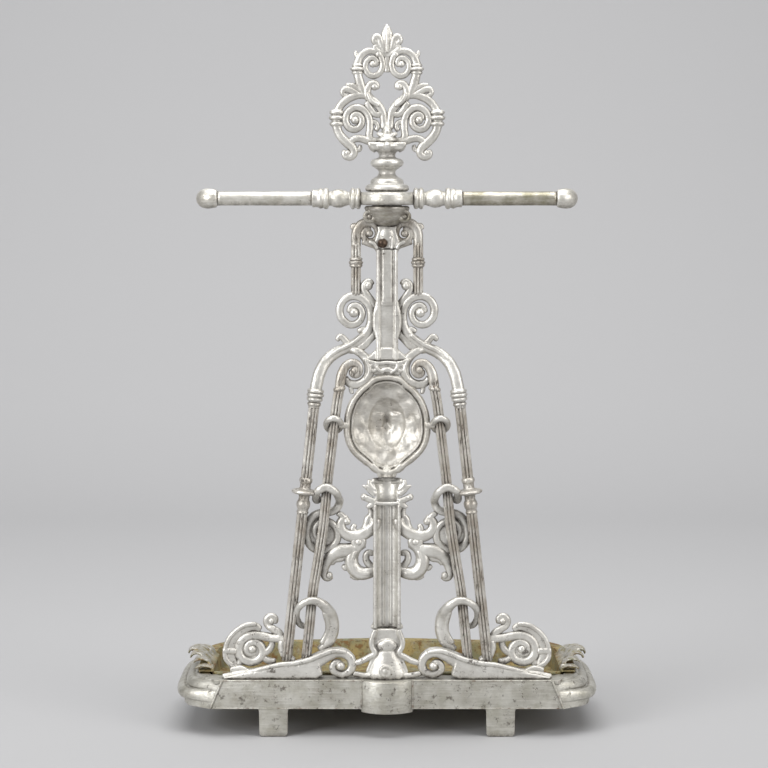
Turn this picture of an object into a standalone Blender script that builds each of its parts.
"""Cast-iron umbrella stand: tray base, lift-out drip pan, openwork back and hoop rail.

Millimetres are used for the sizes and turned into metres as each mesh is made.
X is the width, Y runs from the back of the stand to its front, Z is up.
"""
import bpy
import bmesh
import math
from mathutils import Vector

for old in list(bpy.data.objects):
    bpy.data.objects.remove(old, do_unlink=True)

MM = 0.001
GAP = 0.3                # space left between pieces that touch

# Base
RIM_HALF_WIDTH = 222.0   # top rim of the plinth, half of its width
RIM_HALF_DEPTH = 124.0
RIM_CENTRE_Y = 90.0
RIM_SQUARENESS = 4.5
BACK_Y = -16.0           # flat back of the plinth
SKIRT_LOW_Z = 28.0       # lower edge of the moulded skirt
FLOOR_Z = -4.0           # the feet reach down to here; the model is lifted onto its floor at the end
PLINTH_TOP = 61.0
APRON_WALL = 5.0
RIM_WIDTH = 14.0         # width of the top rim at the sides and the front
BACK_RIM_WIDTH = 34.0    # width of the top rim at the back, where the frame stands
BUMP_HALF_WIDTH = 29.0
BUMP_DEPTH = 13.0
FOOT_X = 129.0
FOOT_WIDTH = 33.0
FOOT_DEPTH = 24.0

# Drip pan
PAN_SHEET = 2.6
PAN_FLOOR_Z = 38.0
PAN_CLEARANCE = 1.5      # between the pan's wall and the opening
LIP_RISE = 15.0
LIP_REACH = 12.0
LIP_HALF_LENGTH = 30.0

# Openwork back
FRAME_Z = PLINTH_TOP + GAP
SCROLL_Y = 3.0           # centre plane of the strapwork
SCROLL_DEEP = 4.0        # half of its thickness
ROD_RADIUS = 5.0
ROD_Y = SCROLL_Y - SCROLL_DEEP - 0.4 - ROD_RADIUS
BAND_DEEP = 3.4          # half thickness of the bands that wind round a rod
OVER_Y = ROD_Y - ROD_RADIUS - 0.4 - BAND_DEEP    # such a band behind its rod
UNDER_Y = ROD_Y + ROD_RADIUS + 0.3 + BAND_DEEP   # and in front of it
COLUMN_Y = -6.0
COLUMN_WALL = 3.4
SHAFT_RADIUS = 14.6
MEDALLION_HALF_WIDTH = 46.5
MEDALLION_DEPTH = 26.0
STEM_HALF_WIDTH = 10.4

# Rail and finial
RAIL_Z = 605.6
RAIL_RADIUS = 7.9
HUB_RADIUS = 27.0
HUB_HALF_HEIGHT = 6.4
SOCKET_END_X = 84.0
RAIL_TUBE_END_X = 190.0
HOOP_HALF_WIDTH = 204.0
HOOP_DEPTH = 196.0
HOOP_CORNER = 46.0
STUD_RADIUS = 5.0
CAPITAL_Z = 575.3
CAPITAL_HEIGHT = 22.0
FINIAL_Z = 613.7

MATERIALS = {
    "aluminium_paint": ((0.52, 0.51, 0.48), 0.42, 0.75),
    "worn_rail_paint": ((0.45, 0.43, 0.39), 0.45, 0.7),
    "rusty_pan": ((0.34, 0.30, 0.17), 0.8, 0.1),
    "bare_steel": ((0.25, 0.19, 0.14), 0.6, 0.7),
}
made_materials = {}


def material(name):
    if name not in made_materials:
        colour, rough, metal = MATERIALS[name]
        mat = bpy.data.materials.new(name)
        mat.use_nodes = True
        shader = mat.node_tree.nodes["Principled BSDF"]
        shader.inputs["Base Color"].default_value = (*colour, 1.0)
        shader.inputs["Roughness"].default_value = rough
        shader.inputs["Metallic"].default_value = metal
        made_materials[name] = mat
    return made_materials[name]


def build(name, verts, faces, finish="aluminium_paint", smooth=True, origin=(0.0, 0.0, 0.0)):
    """A closed mesh object from points in millimetres."""
    mesh = bpy.data.meshes.new(name)
    shift = Vector(origin)
    mesh.from_pydata([(Vector(v) - shift) * MM for v in verts], [], faces)
    work = bmesh.new()
    work.from_mesh(mesh)
    bmesh.ops.remove_doubles(work, verts=work.verts, dist=1e-6)
    bmesh.ops.dissolve_degenerate(work, edges=work.edges, dist=1e-7)
    bmesh.ops.recalc_face_normals(work, faces=work.faces)
    for face in work.faces:
        face.smooth = smooth
    work.to_mesh(mesh)
    work.free()
    item = bpy.data.objects.new(name, mesh)
    item.location = shift * MM
    item.data.materials.append(material(finish))
    bpy.context.scene.collection.objects.link(item)
    return item


def hide_tool(item):
    item.hide_render = True
    item.display_type = 'WIRE'
    return item


def grown(item, by):
    """A hidden copy of a piece, fattened by the clearance, that cuts its neighbours."""
    mesh = item.data.copy()
    for vert in mesh.vertices:
        vert.co = vert.co + vert.normal * (by * MM)
    copy = bpy.data.objects.new(item.name + "_clear", mesh)
    copy.location = item.location
    bpy.context.scene.collection.objects.link(copy)
    return hide_tool(copy)


def boolean(target, tool, kind):
    mod = target.modifiers.new(kind.lower(), 'BOOLEAN')
    mod.operation = kind
    mod.object = tool
    mod.solver = 'EXACT'


def clear_of(target, *others):
    for other in others:
        boolean(target, grown(other, GAP + 0.05), 'DIFFERENCE')


def strip_faces(rings, sides, closed=False, wrap=False):
    """Quads between rows of points; wrap joins the last row to the first."""
    faces = []
    count = rings if wrap else rings - 1
    for i in range(count):
        a = i * sides
        b = ((i + 1) % rings) * sides
        last = sides if closed else sides - 1
        for j in range(last):
            k = (j + 1) % sides
            faces.append((a + j, a + k, b + k, b + j))
    return faces


def lathe(name, profile, axis_point, axis=(0.0, 0.0, 1.0), sides=20, finish="aluminium_paint"):
    """Turn (radius, height) pairs about a line through axis_point."""
    axis = Vector(axis).normalized()
    side = axis.cross(Vector((0.0, 1.0, 0.0)))
    if side.length < 0.1:
        side = Vector((1.0, 0.0, 0.0))
    side.normalize()
    other = axis.cross(side)
    verts = []
    for radius, height in profile:
        for j in range(sides):
            turn = 2.0 * math.pi * j / sides
            out = side * math.cos(turn) + other * math.sin(turn)
            verts.append(Vector(axis_point) + axis * height + out * radius)
    rings = len(profile)
    tube = profile[0][0] > 0.01 and profile[0] == profile[-1]
    if tube:
        verts = verts[:-sides]
        faces = strip_faces(rings - 1, sides, closed=True, wrap=True)
    else:
        faces = strip_faces(rings, sides, closed=True)
        if profile[0][0] > 0.01:
            faces.append(tuple(range(sides))[::-1])
        if profile[-1][0] > 0.01:
            faces.append(tuple(range((rings - 1) * sides, rings * sides)))
    return build(name, verts, faces, finish)


def smooth_path(points, spans=3):
    """Catmull-Rom points through the given ones; every number in a point is blended."""
    out = []
    for i in range(len(points) - 1):
        p0 = points[max(i - 1, 0)]
        p1 = points[i]
        p2 = points[i + 1]
        p3 = points[min(i + 2, len(points) - 1)]
        for s in range(spans):
            t = s / spans
            row = []
            for a, b, c, d in zip(p0, p1, p2, p3):
                row.append(0.5 * (2 * b + (c - a) * t + (2 * a - 5 * b + 4 * c - d) * t * t
                                  + (3 * b - a - 3 * c + d) * t ** 3))
            out.append(row)
    out.append(list(points[-1]))
    return out


def sweep(name, points, up, sides=8, finish="aluminium_paint", deep=None, square=2.6):
    """Carry a rounded section along points (x, y, z, half width); up is the flat direction."""
    up = Vector(up)
    verts = []
    total = len(points)
    for i, point in enumerate(points):
        here = Vector(point[:3])
        ahead = Vector(points[min(i + 1, total - 1)][:3])
        behind = Vector(points[max(i - 1, 0)][:3])
        along = ahead - behind
        along -= up * along.dot(up)
        out = along.normalized().cross(up)
        half = point[3]
        depth = half if deep is None else min(deep, half * 1.6)
        for j in range(sides):
            turn = 2.0 * math.pi * (j + 0.5) / sides
            c = math.cos(turn)
            s = math.sin(turn)
            c = math.copysign(abs(c) ** (2.0 / square), c)
            s = math.copysign(abs(s) ** (2.0 / square), s)
            verts.append(here + out * (c * half) + up * (s * depth))
    faces = strip_faces(total, sides, closed=True)
    faces.append(tuple(range(sides))[::-1])
    faces.append(tuple(range((total - 1) * sides, total * sides)))
    return build(name, verts, faces, finish)


def scroll(name, side, points, deep=SCROLL_DEEP, spans=2, y=SCROLL_Y, sides=6):
    """A strap in the plane of the back: points are (x, z, half width[, y])."""
    rows = []
    for point in points:
        depth_y = point[3] if len(point) > 3 else y
        rows.append((side * point[0], depth_y, point[1], point[2]))
    return sweep(name, smooth_path(rows, spans), (0.0, 1.0, 0.0), sides=sides, deep=deep)


def half_shell(name, levels, y, arc=9):
    """A casting that is round in front and hollow behind: levels are (z, half width, depth)."""
    verts = []
    for z, half, depth in levels:
        wall = min(COLUMN_WALL, half * 0.45)
        for j in range(arc):
            turn = math.pi * j / (arc - 1)
            verts.append((half * math.cos(turn), y + depth * math.sin(turn), z))
        for j in range(arc):
            turn = math.pi * (arc - 1 - j) / (arc - 1)
            verts.append(((half - wall) * math.cos(turn), y + max(depth - wall, 0.6) * math.sin(turn), z))
    row = 2 * arc
    faces = strip_faces(len(levels), row, closed=True)
    for base, flip in ((0, True), ((len(levels) - 1) * row, False)):
        for j in range(arc - 1):
            quad = (base + j, base + j + 1, base + row - 2 - j, base + row - 1 - j)
            faces.append(quad[::-1] if flip else quad)
    return build(name, verts, faces)


def rim_outline(offset, back_y, front_points=40, back_points=None):
    """The base's outline seen from above, grown by offset and cut flat at the back."""
    dense = []
    count = 360
    for i in range(count):
        turn = 2.0 * math.pi * i / count
        c = math.cos(turn)
        s = math.sin(turn)
        x = RIM_HALF_WIDTH * math.copysign(abs(c) ** (2.0 / RIM_SQUARENESS), c)
        y = RIM_HALF_DEPTH * math.copysign(abs(s) ** (2.0 / RIM_SQUARENESS), s)
        if y > 0.0:
            wave = math.cos(2.0 * math.pi * x / RIM_HALF_WIDTH)
            y *= 1.0 + 0.05 * wave * (y / RIM_HALF_DEPTH) ** 2
        dense.append(Vector((x, y + RIM_CENTRE_Y)))
    moved = []
    for i in range(count):
        along = dense[(i + 2) % count] - dense[(i - 2) % count]
        along.normalize()
        moved.append(dense[i] + Vector((along.y, -along.x)) * offset)
    quarter = 3 * count // 4
    order = [moved[(quarter + i) % count] for i in range(count + 1)]
    kept = [p for p in order if p.y > back_y]
    first = order.index(kept[0])
    a = order[first - 1]
    b = order[first]
    start = a.lerp(b, (back_y - a.y) / (b.y - a.y))
    kept = [start] + kept + [Vector((-start.x, start.y))]
    lengths = [0.0]
    for a, b in zip(kept, kept[1:]):
        lengths.append(lengths[-1] + (b - a).length)
    out = []
    j = 0
    for i in range(front_points):
        want = lengths[-1] * i / (front_points - 1)
        while j < len(lengths) - 2 and lengths[j + 1] < want:
            j += 1
        part = (want - lengths[j]) / (lengths[j + 1] - lengths[j])
        out.append(kept[j].lerp(kept[j + 1], part))
    edge = -start.x
    for share in back_points or ():
        out.append(Vector((share if share is not None else 0.0, back_y)))
    return out, edge


def bump(x):
    """How far the middle of the apron bulges backwards at x."""
    if abs(x) >= BUMP_HALF_WIDTH:
        return 0.0
    radius = (BUMP_HALF_WIDTH ** 2 + BUMP_DEPTH ** 2) / (2.0 * BUMP_DEPTH)
    return math.sqrt(radius ** 2 - x ** 2) - (radius - BUMP_DEPTH)


def base_ring(levels, lip=None):
    """Points of a stack of outlines: levels are (offset, z, back y, bulge share)."""
    shares = (-150.0, -90.0, -BUMP_HALF_WIDTH, -21.0, -11.0, 0.0, 11.0, 21.0, BUMP_HALF_WIDTH, 90.0, 150.0)
    verts = []
    for offset, z, back_y, bulge in levels:
        outline, _ = rim_outline(offset, back_y, back_points=shares)
        for p in outline:
            x, y, height = p.x, p.y, z
            if bulge and abs(y - back_y) < 0.01:
                y -= bulge * bump(x)
            if lip and offset > lip:
                near = (y - RIM_CENTRE_Y) / LIP_HALF_LENGTH
                if abs(near) < 1.0 and abs(x) > 0.8 * RIM_HALF_WIDTH:
                    share = min(1.0, 1.5 * math.cos(0.5 * math.pi * near))
                    x += math.copysign(LIP_REACH * share, x)
                    height += LIP_RISE * share
            verts.append((x, y, height))
    return verts, len(outline)


def box(name, low, high, finish="aluminium_paint"):
    xs = (low[0], high[0])
    ys = (low[1], high[1])
    zs = (low[2], high[2])
    verts = [(x, y, z) for z in zs for y in ys for x in xs]
    faces = [(0, 2, 3, 1), (4, 5, 7, 6), (0, 1, 5, 4), (2, 6, 7, 3), (0, 4, 6, 2), (1, 3, 7, 5)]
    return build(name, verts, faces, finish, smooth=False)


# Plinth: one hollow casting with its four tab feet
top = PLINTH_TOP
low = SKIRT_LOW_Z
back_in = BACK_Y + BACK_RIM_WIDTH
back_wall = BACK_Y + APRON_WALL
plinth_levels = [
    (-RIM_WIDTH, top, back_in, 0.0),
    (0.0, top, BACK_Y, 1.0),
    (4.0, top - 3.0, BACK_Y, 1.0),
    (8.0, top - 8.0, BACK_Y, 1.0),
    (11.0, top - 11.0, BACK_Y, 1.0),
    (17.0, top - 12.5, BACK_Y, 1.0),
    (20.5, top - 17.0, BACK_Y, 1.0),
    (19.5, top - 23.0, BACK_Y, 1.0),
    (14.0, top - 29.0, BACK_Y, 1.0),
    (13.0, low, BACK_Y, 1.0),
    (8.0, low, back_wall, 1.0),
    (9.0, top - 27.0, back_wall, 1.0),
    (13.5, top - 20.0, back_wall, 1.0),
    (5.0, top - 14.0, back_wall, 1.0),
    (-1.0, top - 5.0, back_wall, 1.0),
    (-RIM_WIDTH, top - 5.0, back_in, 0.0),
]
verts, count = base_ring(plinth_levels)
plinth = build("plinth", verts, strip_faces(len(plinth_levels), count, closed=True, wrap=True))
front_foot_y = RIM_CENTRE_Y + RIM_HALF_DEPTH - 6.0
for side in (-1, 1):
    for y_low in (BACK_Y - 0.5, front_foot_y - FOOT_DEPTH / 2):
        x = side * FOOT_X
        foot = box("foot_block", (x - FOOT_WIDTH / 2, y_low, FLOOR_Z),
                   (x + FOOT_WIDTH / 2, y_low + FOOT_DEPTH, low + 7.0))
        boolean(plinth, hide_tool(foot), 'UNION')

# Drip pan: a loose dish whose flange rests on the plinth's rim
sheet = PAN_SHEET
wall = -RIM_WIDTH - PAN_CLEARANCE
pan_back = back_in - 5.0
rest = PLINTH_TOP + GAP
pan_levels = [
    (wall - 8.0, PAN_FLOOR_Z - sheet, back_in + PAN_CLEARANCE + 8.0, 0.0),
    (wall, rest, back_in + PAN_CLEARANCE, 0.0),
    (-2.5, rest, pan_back, 0.0),
    (-2.5, rest + sheet, pan_back, 0.0),
    (wall - sheet, rest + sheet, back_in + PAN_CLEARANCE + sheet, 0.0),
    (wall - 8.0 - sheet, PAN_FLOOR_Z, back_in + PAN_CLEARANCE + 8.0 + sheet, 0.0),
]
verts, count = base_ring(pan_levels, lip=-3.0)
faces = strip_faces(len(pan_levels), count, closed=True)
faces.append(tuple(range(count))[::-1])
faces.append(tuple(range((len(pan_levels) - 1) * count, len(pan_levels) * count)))
build("drip_pan", verts, faces, "rusty_pan", origin=(0.0, RIM_CENTRE_Y, PAN_FLOOR_Z))

# Column, from the foot to the top of the stem: castings that are hollow behind
shaft = SHAFT_RADIUS
half = MEDALLION_HALF_WIDTH
stem = STEM_HALF_WIDTH
column_foot = half_shell("column_foot", [
    (FRAME_Z, 28.0, 13.5), (70.0, 27.0, 13.5), (79.0, 22.0, 13.0), (87.0, 14.5, 12.0), (92.0, 12.5, 11.5),
    (97.0, 16.5, 13.4), (104.0, 17.0, 13.8), (109.0, 15.0, 13.0), (117.7, 18.0, 15.0)], COLUMN_Y)
column_shaft = half_shell("column_shaft", [
    (118.0, 17.5, 16.5), (126.0, shaft, shaft), (190.0, shaft, shaft), (255.0, shaft, shaft),
    (260.7, 16.0, 15.5)], COLUMN_Y)
column_capital = half_shell("column_capital", [
    (261.0, 14.6, 14.0), (268.0, 14.0, 13.5), (278.0, 15.6, 15.0), (286.0, 17.8, 17.0), (290.7, 16.0, 16.0)],
    COLUMN_Y)
medallion = half_shell("medallion", [
    (291.0, 13.6, 12.0), (297.0, 11.0, 10.0), (303.0, 15.0, 11.0), (311.0, 22.5, 14.0), (322.0, 32.0, 19.0),
    (337.0, half * 0.9, 23.5), (352.0, half, MEDALLION_DEPTH), (366.0, half * 0.95, 25.0),
    (381.0, half * 0.8, 21.0), (395.0, 25.0, 15.0), (403.0, 15.0, 11.0), (407.0, 13.0, 10.0)], COLUMN_Y, arc=11)
bridge = half_shell("medallion_bridge", [
    (407.3, 12.6, 10.0), (415.0, 13.4, 10.0), (421.0, 12.0, 9.5), (424.0, stem, 9.0)], COLUMN_Y)
stem_post = half_shell("stem_post", [
    (424.3, stem, 9.0), (456.0, stem, 9.0), (488.0, stem, 9.0), (549.0, stem, 9.0)], COLUMN_Y, arc=7)
stem_head = half_shell("stem_head", [
    (549.3, stem, 9.5), (556.0, 9.0, 10.0), (566.0, 8.4, 11.0), (CAPITAL_Z - GAP, 9.0, 12.0)], COLUMN_Y)

# Stack on the stud: capital, rail hub, finial base
bore = STUD_RADIUS + GAP
cz = CAPITAL_Z
ch = CAPITAL_HEIGHT
capital = lathe("top_capital", [
    (0.0, cz), (10.0, cz + 0.5), (16.0, cz + 4.0), (20.5, cz + 9.0), (23.0, cz + 14.0), (24.7, cz + 18.0),
    (24.7, cz + ch - 1.5), (17.0, cz + ch), (bore, cz + ch), (bore, cz + 5.0), (0.0, cz + 5.0)], (0.0, 0.0, 0.0))
hub_low = RAIL_Z - HUB_HALF_HEIGHT
hub_high = RAIL_Z + HUB_HALF_HEIGHT
hub = lathe("rail_hub", [
    (0.0, cz + ch + GAP), (16.0, cz + ch + GAP), (16.0, hub_low), (HUB_RADIUS - 2.0, hub_low),
    (HUB_RADIUS, hub_low + 2.0), (HUB_RADIUS, hub_high - 2.0), (HUB_RADIUS - 2.0, hub_high), (16.0, hub_high),
    (16.0, FINIAL_Z - GAP), (0.0, FINIAL_Z - GAP)], (0.0, 0.0, 0.0), sides=18)
arm = [(6.0, 10.0), (6.0, 31.0), (11.2, 33.0), (11.2, 35.5), (9.0, 36.5), (11.2, 37.5), (11.2, 40.0),
       (7.0, 42.0), (8.6, 48.0), (9.8, 55.0), (8.6, 61.0), (7.6, 65.0), (11.2, 67.0), (11.2, 70.0),
       (9.4, 71.0), (10.6, 72.5), (10.6, 75.0), (9.4, 77.0), (9.4, SOCKET_END_X)]
for side in (-1, 1):
    piece = lathe("hub_arm", arm, (0.0, 0.0, RAIL_Z), (float(side), 0.0, 0.0), sides=10)
    boolean(hub, hide_tool(piece), 'UNION')
tool = lathe("hub_bore", [(bore, cz + ch - 5.0), (bore, FINIAL_Z + 5.0)], (0.0, 0.0, 0.0))
boolean(hub, hide_tool(tool), 'DIFFERENCE')
stud_top = FINIAL_Z + 24.0
lathe("tie_stud", [(STUD_RADIUS, cz + 5.0 + GAP), (STUD_RADIUS, stud_top)], (0.0, 0.0, 0.0), sides=20,
      finish="bare_steel")
fz = FINIAL_Z
finial = lathe("finial_base", [
    (bore, fz), (22.0, fz), (24.0, fz + 2.0), (24.0, fz + 6.0), (18.5, fz + 9.0), (17.0, fz + 12.5),
    (10.0, fz + 17.5), (9.6, fz + 21.0), (14.0, fz + 26.5), (17.0, fz + 28.0), (18.2, fz + 31.5),
    (16.0, fz + 35.0), (9.2, fz + 37.5), (9.4, fz + 42.5), (15.0, fz + 46.5), (19.0, fz + 50.0),
    (19.0, fz + 54.0), (10.0, fz + 55.0), (0.0, fz + 55.0), (0.0, stud_top + GAP), (bore, stud_top + GAP),
    (bore, fz)], (0.0, 0.0, 0.0), sides=18)

# Hoop: two straight tubes in the hub's sockets, two elbows and one bow round the front
elbow_mid = HOOP_HALF_WIDTH - 3.0
bow = [(HOOP_HALF_WIDTH, 24.3), (HOOP_HALF_WIDTH, 36.0)]
bow += [(HOOP_HALF_WIDTH + 0.6, 50.0), (HOOP_HALF_WIDTH + 2.6, 76.0), (HOOP_HALF_WIDTH + 4.0, 110.0), (HOOP_HALF_WIDTH, HOOP_DEPTH - HOOP_CORNER)]
for i in range(1, 5):
    turn = 0.5 * math.pi * i / 5
    bow.append((HOOP_HALF_WIDTH - HOOP_CORNER + HOOP_CORNER * math.cos(turn),
                HOOP_DEPTH - HOOP_CORNER + HOOP_CORNER * math.sin(turn)))
bow += [(HOOP_HALF_WIDTH - HOOP_CORNER, HOOP_DEPTH), (90.0, HOOP_DEPTH - 4.0), (45.0, HOOP_DEPTH + 2.0),
        (0.0, HOOP_DEPTH + 6.0)]
bow += [(-x, y) for x, y in reversed(bow[:-1])]
sweep("hoop_bow", smooth_path([(x, y, RAIL_Z, RAIL_RADIUS) for x, y in bow], 2), (0.0, 0.0, 1.0),
      square=2.0, finish="worn_rail_paint", sides=8)
for side, word in ((-1, "left"), (1, "right")):
    lathe("rail_tube_" + word, [(RAIL_RADIUS, SOCKET_END_X + GAP), (RAIL_RADIUS, RAIL_TUBE_END_X)],
          (0.0, 0.0, RAIL_Z), (float(side), 0.0, 0.0), sides=12, finish="worn_rail_paint")
    elbow = [(RAIL_TUBE_END_X + GAP, 0.0, 9.4), (RAIL_TUBE_END_X + 3.0, 0.0, 11.6),
             (elbow_mid - 1.0, 3.5, 11.8), (HOOP_HALF_WIDTH - 1.0, 11.0, 11.6),
             (HOOP_HALF_WIDTH, 20.0, 10.4), (HOOP_HALF_WIDTH, 24.0, 9.0)]
    sweep("rail_elbow_" + word, [(side * x, y, RAIL_Z, r) for x, y, r in elbow], (0.0, 0.0, 1.0),
          square=2.0, sides=12, finish="worn_rail_paint")

# Crest of the finial: openwork scrolls in the plane of the back
crest_z = fz + 55.0 + GAP
block = lathe("crest_block", [
    (11.0, crest_z), (10.0, crest_z + 4.0), (5.4, crest_z + 9.0), (3.4, crest_z + 16.0), (1.6, crest_z + 22.0)],
    (0.0, 0.0, 0.0), sides=12)
fleur_half = [(2.4, 748.0), (2.6, 768.0), (8.0, 769.0), (13.5, 772.0), (15.0, 776.5), (10.5, 779.0),
              (15.5, 780.5), (17.6, 785.0), (14.0, 789.5), (8.0, 788.0), (6.4, 793.0), (3.4, 798.5)]
outline = [(0.0, 746.5)] + fleur_half + [(0.0, 801.0)] + [(-x, z) for x, z in reversed(fleur_half)]
verts = [(x, -2.8, z) for x, z in outline] + [(x, 2.8, z) for x, z in outline]
n = len(outline)
faces = [(i, (i + 1) % n, n + (i + 1) % n, n + i) for i in range(n)]
faces += [tuple(range(n))[::-1], tuple(range(n, 2 * n))]
fleur = build("crest_fleur", verts, faces, smooth=False)

for side, word in ((-1, "left"), (1, "right")):
    # Crest
    crest_stem = scroll("crest_stem_" + word, side, [
        (4.0, 684.0, 2.6), (4.6, 700.0, 2.8), (11.0, 710.5, 3.2), (20.0, 717.5, 3.4), (22.0, 727.0, 3.0),
        (17.0, 733.5, 2.6), (12.0, 731.5, 2.8)], deep=3.0, y=0.0, spans=2)
    crest_outer = scroll("crest_outer_scroll_" + word, side, [
        (23.0, 719.0, 2.6), (36.8, 719.5, 3.2), (47.1, 714.8, 3.4), (54.2, 706.0, 3.6), (56.0, 701.5, 6.6),
        (56.4, 696.0, 7.4), (56.4, 690.0, 6.8), (55.6, 684.4, 3.8), (51.0, 674.1, 4.2), (43.2, 666.4, 4.2),
        (37.6, 659.0, 3.8), (40.0, 652.8, 3.6), (46.5, 653.6, 3.4)], deep=4.4, y=0.0, spans=2)
    crest_upper = scroll("crest_upper_scroll_" + word, side, [
        (26.0, 724.0, 3.4), (30.0, 734.0, 3.6), (32.6, 743.0, 3.8), (33.4, 749.0, 7.2), (33.6, 753.0, 4.0),
        (28.0, 765.0, 3.2), (17.4, 769.0, 2.8), (7.4, 763.5, 2.6), (4.8, 753.0, 2.6), (12.0, 744.4, 2.6),
        (20.5, 746.5, 2.6), (23.0, 755.0, 2.4), (16.5, 759.5, 2.6)], deep=3.6, y=0.0, spans=2)
    crest_lower = scroll("crest_lower_volute_" + word, side, [
        (8.5, 673.5, 3.6), (16.0, 674.5, 3.4), (19.5, 684.4, 3.0), (20.8, 696.0, 2.8), (28.0, 705.0, 2.8),
        (38.5, 705.0, 2.8), (44.6, 698.0, 2.8), (44.0, 688.0, 2.8), (36.5, 682.5, 2.8), (29.4, 687.0, 2.6),
        (29.8, 695.0, 2.6), (36.5, 696.0, 3.2)], deep=3.8, y=0.0, spans=2)
    clear_of(crest_stem, block)
    clear_of(crest_outer, crest_stem)
    clear_of(crest_upper, crest_stem, crest_outer, fleur)
    clear_of(crest_lower, block, crest_outer, crest_stem)

    # Upper tube and the scrolls beside the stem
    big = scroll("shoulder_scroll_" + word, side, [
        (36.5, 476.5, 3.6), (42.2, 479.0, 2.8), (37.0, 487.4, 2.8), (27.4, 482.0, 2.9), (28.6, 470.0, 3.0),
        (38.5, 463.4, 3.2), (49.0, 468.4, 3.4), (53.0, 479.6, 3.4), (47.5, 491.0, 3.4), (35.7, 495.7, 3.4),
        (23.6, 491.0, 3.4), (16.6, 479.0, 3.8), (17.0, 464.2, 4.2), (24.0, 452.6, 4.4), (34.0, 444.0, 4.6),
        (46.0, 437.0, 5.0), (58.0, 432.0, 5.4), (68.0, 423.5, 5.8, 0.0), (75.2, 411.0, 6.0, ROD_Y * 0.6),
        (78.8, 398.0, 6.0, ROD_Y), (80.2, 390.0, 9.0, ROD_Y), (81.4, 379.0, 9.0, ROD_Y),
        (81.8, 376.5, 6.0, ROD_Y)], deep=5.0, spans=2)
    clear_of(big, stem_post)
    hook = scroll("stem_hook_" + word, side, [
        (9.0, 479.0, 3.0), (13.0, 489.0, 3.2), (19.5, 497.0, 3.2), (24.0, 504.0, 3.0), (20.5, 510.5, 3.4),
        (16.6, 507.0, 3.6)], deep=3.8, spans=2)
    clear_of(hook, stem_post, big)
    upper_tube = scroll("upper_tube_" + word, side, [
        (35.0, 497.6, 4.4), (35.0, 514.0, 4.4), (35.0, 528.0, 4.4), (35.0, 532.0, 7.4), (35.0, 537.0, 7.4),
        (35.0, 541.0, 4.6), (35.0, 556.0, 4.6), (34.4, 567.0, 4.4), (28.6, 575.6, 4.2), (18.5, 576.0, 3.6),
        (12.0, 567.0, 3.2), (16.4, 558.8, 3.0), (24.4, 561.5, 3.0), (22.5, 568.6, 3.2)], deep=4.6, spans=2)
    clear_of(upper_tube, big, capital, stem_head)

    # Rods
    x_top, z_top, x_foot, z_foot = 82.0, 376.2, 114.0, 78.0
    down = Vector((side * (x_foot - x_top), 0.0, z_foot - z_top))
    length = down.length
    r = ROD_RADIUS + 0.2
    outer_rod = lathe("outer_rod_" + word, [
        (r, 0.0), (r, 86.0), (7.4, 89.0), (7.4, 93.0), (r, 95.0), (6.6, 99.0), (14.0, 101.0), (14.0, 103.5),
        (5.0, 107.0), (6.6, 110.0), (8.0, 115.0), (7.6, 120.0), (r, 123.0), (r, length)],
        (side * x_top, ROD_Y, z_top), down, sides=10)
    r = ROD_RADIUS
    inner_rod = scroll("inner_rod_" + word, side, [
        (38.5, 410.5, 3.2, 0.0), (33.6, 414.5, 3.0, -1.0), (38.5, 420.6, 3.6, -3.0), (46.5, 418.0, 4.2, -5.0),
        (51.0, 408.0, 4.6, ROD_Y), (54.0, 392.0, r, ROD_Y), (58.1, 364.0, r, ROD_Y), (67.1, 287.8, r, ROD_Y),
        (71.6, 240.0, r, ROD_Y), (84.0, 161.0, r, ROD_Y), (92.0, 82.0, r, ROD_Y)], deep=r, spans=2)

    # Eye beside the medallion, with the inner rod through it
    ring = []
    reach = ROD_RADIUS + 2.4 + 0.5
    x_mid, z_mid = 60.0, 351.5
    for i in range(13):
        turn = math.radians(190.0 + 340.0 * i / 12)
        ring.append((x_mid + (reach + 0.8) * math.cos(turn), z_mid + (reach + 1.0) * math.sin(turn), 2.4,
                     ROD_Y - (reach + 0.6) * math.sin(turn)))
    ring = [(44.0, 350.5, 3.6, ROD_Y)] + ring
    eye = scroll("rod_eye_" + word, side, ring, deep=2.4, spans=1, sides=6)
    clear_of(eye, medallion)

    # C-scroll that holds the curl of the inner rod
    head = scroll("head_scroll_" + word, side, [
        (40.0, 436.0, 3.4), (33.0, 433.0, 3.8), (23.0, 425.5, 4.4), (17.6, 414.0, 4.8), (22.4, 402.6, 4.6),
        (33.5, 397.6, 4.2), (43.0, 399.5, 3.6), (47.0, 404.5, 2.6)], deep=3.4, spans=2, y=-1.0)
    clear_of(head, bridge, medallion, big, inner_rod)

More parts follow.
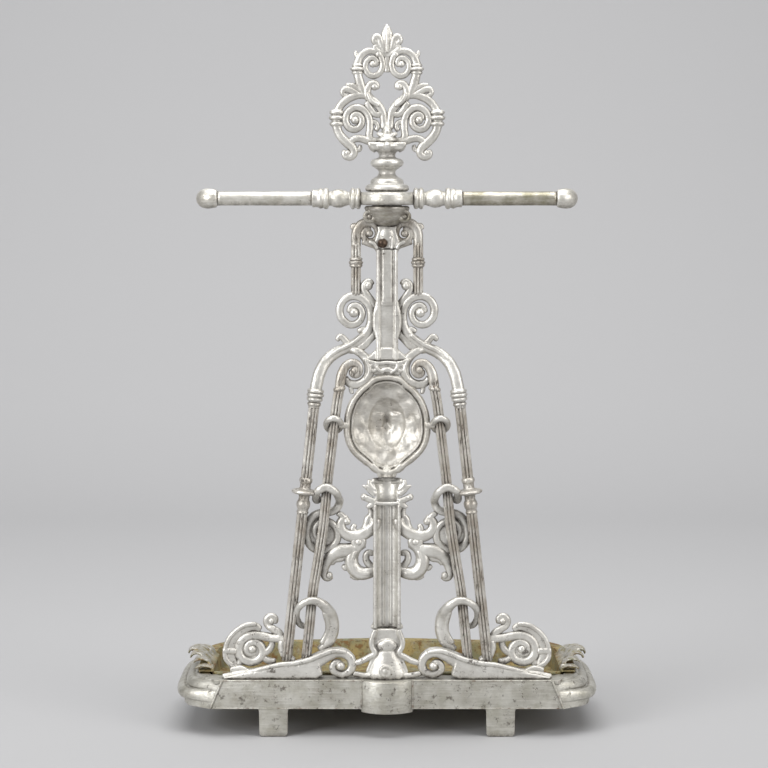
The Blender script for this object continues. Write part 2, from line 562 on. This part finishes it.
    # Vine: a hook over the inner rod that runs down into a volute
    vine = scroll("vine_scroll_" + word, side, [
        (78.6, 265.0, 3.0, UNDER_Y), (80.0, 271.0, 2.8, -7.0), (76.0, 279.0, 2.8, OVER_Y),
        (67.0, 282.0, 2.8, OVER_Y), (58.6, 277.0, 2.8, OVER_Y), (54.6, 269.0, 2.8, -7.0),
        (54.4, 261.0, 3.0, UNDER_Y), (59.0, 253.6, 3.0, UNDER_Y), (68.0, 250.4, 3.0, UNDER_Y),
        (79.0, 248.6, 3.0, UNDER_Y), (87.6, 240.0, 3.0, UNDER_Y), (89.6, 228.0, 3.0, UNDER_Y),
        (84.6, 214.0, 3.0, UNDER_Y), (73.0, 208.0, 3.0, UNDER_Y), (60.6, 214.0, 3.0, UNDER_Y),
        (56.4, 226.6, 3.0, UNDER_Y), (62.6, 238.4, 3.0, UNDER_Y), (75.0, 238.0, 2.8, UNDER_Y),
        (79.6, 228.4, 2.8, UNDER_Y), (73.0, 221.6, 3.0, UNDER_Y)], deep=BAND_DEEP, spans=2)
    clear_of(vine, outer_rod)
    strap = scroll("bracket_strap_" + word, side, [
        (12.0, 238.0, 4.4), (18.0, 231.5, 4.4), (28.0, 225.6, 4.0), (40.0, 223.4, 3.8), (49.0, 227.4, 3.6),
        (52.4, 236.0, 3.4), (48.6, 243.6, 2.8)], deep=3.6, spans=2)
    clear_of(strap, column_shaft, vine)
    leaf = scroll("bracket_leaf_" + word, side, [
        (12.0, 184.0, 3.6), (22.0, 181.0, 4.2), (32.4, 182.6, 4.8), (39.6, 191.0, 4.8), (38.4, 203.0, 4.2),
        (32.4, 211.4, 4.4), (29.0, 216.0, 4.0)], deep=3.6, spans=2)
    clear_of(leaf, column_shaft, strap)
    tail = scroll("bracket_tail_" + word, side, [
        (39.0, 206.0, 3.4), (49.0, 207.6, 4.0), (59.0, 205.4, 4.0), (67.0, 198.0, 3.4), (71.0, 188.0, 2.8),
        (71.6, 179.0, 2.6), (66.6, 175.4, 3.2)], deep=3.6, spans=2)
    clear_of(tail, leaf, vine)

    # Foot: strap with its volute, the ring round the inner rod, the corner scrolls
    foot = scroll("foot_strap_" + word, side, [
        (54.6, 79.0, 3.0), (58.6, 74.0, 2.8), (55.0, 67.6, 2.8), (47.0, 68.0, 3.0), (41.4, 75.0, 3.2),
        (43.0, 85.0, 3.4), (52.0, 91.4, 3.8), (64.0, 91.2, 4.6), (78.0, 85.6, 6.6), (94.0, 77.6, 8.0),
        (110.0, 73.4, 8.4), (126.0, 72.0, 8.0), (146.0, 68.4, 5.4), (168.0, 65.6, 3.8), (187.0, 63.6, 2.0)],
        deep=9.0, spans=2, y=-3.0)
    clear_of(foot, column_foot, plinth)
    clear_of(outer_rod, foot, big)
    clear_of(inner_rod, foot)
    ring_scroll = scroll("foot_ring_" + word, side, [
        (73.0, 91.0, 4.4, 3.2), (65.6, 103.0, 4.6, 3.2), (61.0, 116.0, 5.2, 3.2), (61.6, 131.0, 5.0, 1.0),
        (67.0, 143.6, 4.2, -7.0), (75.0, 151.0, 3.4, OVER_Y), (85.0, 154.0, 3.0, OVER_Y),
        (95.0, 149.6, 2.6, OVER_Y), (100.4, 140.0, 2.6, -7.0), (100.6, 130.0, 2.6, 0.0),
        (97.0, 121.6, 2.6, UNDER_Y), (90.0, 120.4, 2.6, UNDER_Y)], deep=BAND_DEEP, spans=2)
    clear_of(ring_scroll, foot, inner_rod, outer_rod)
    corner = scroll("corner_scroll_" + word, side, [
        (160.0, 67.0, 3.4), (170.0, 73.0, 3.8), (176.6, 82.0, 4.6), (179.0, 92.0, 5.4), (175.4, 104.0, 5.4), (166.0, 113.6, 4.8),
        (154.0, 117.8, 4.0), (146.6, 114.0, 3.6)], deep=4.6, spans=2)
    clear_of(corner, foot)
    volute = scroll("corner_volute_" + word, side, [
        (113.0, 103.0, 3.4, ROD_Y), (122.0, 105.0, 3.2, -3.0), (132.0, 107.0, 3.2, 1.0), (145.0, 107.0, 3.2),
        (159.0, 105.6, 3.2), (167.6, 97.0, 3.2), (164.0, 86.0, 3.2), (152.0, 82.0, 3.2), (144.0, 88.0, 3.0), (146.6, 96.4, 3.0),
        (154.6, 96.0, 3.2)], deep=3.8, spans=2)
    clear_of(volute, corner, outer_rod, foot)

# The row's origin is on the floor under the middle of the whole stand
ys = [vert.co.y for vert in plinth.data.vertices]
middle = 0.5 * (min(ys) + max(ys))
for item in bpy.context.scene.objects:
    item.location.y -= middle
    item.location.z -= FLOOR_Z * MM
print("origin moved", round(middle / MM, 2), "mm forwards and", FLOOR_Z, "mm in height")
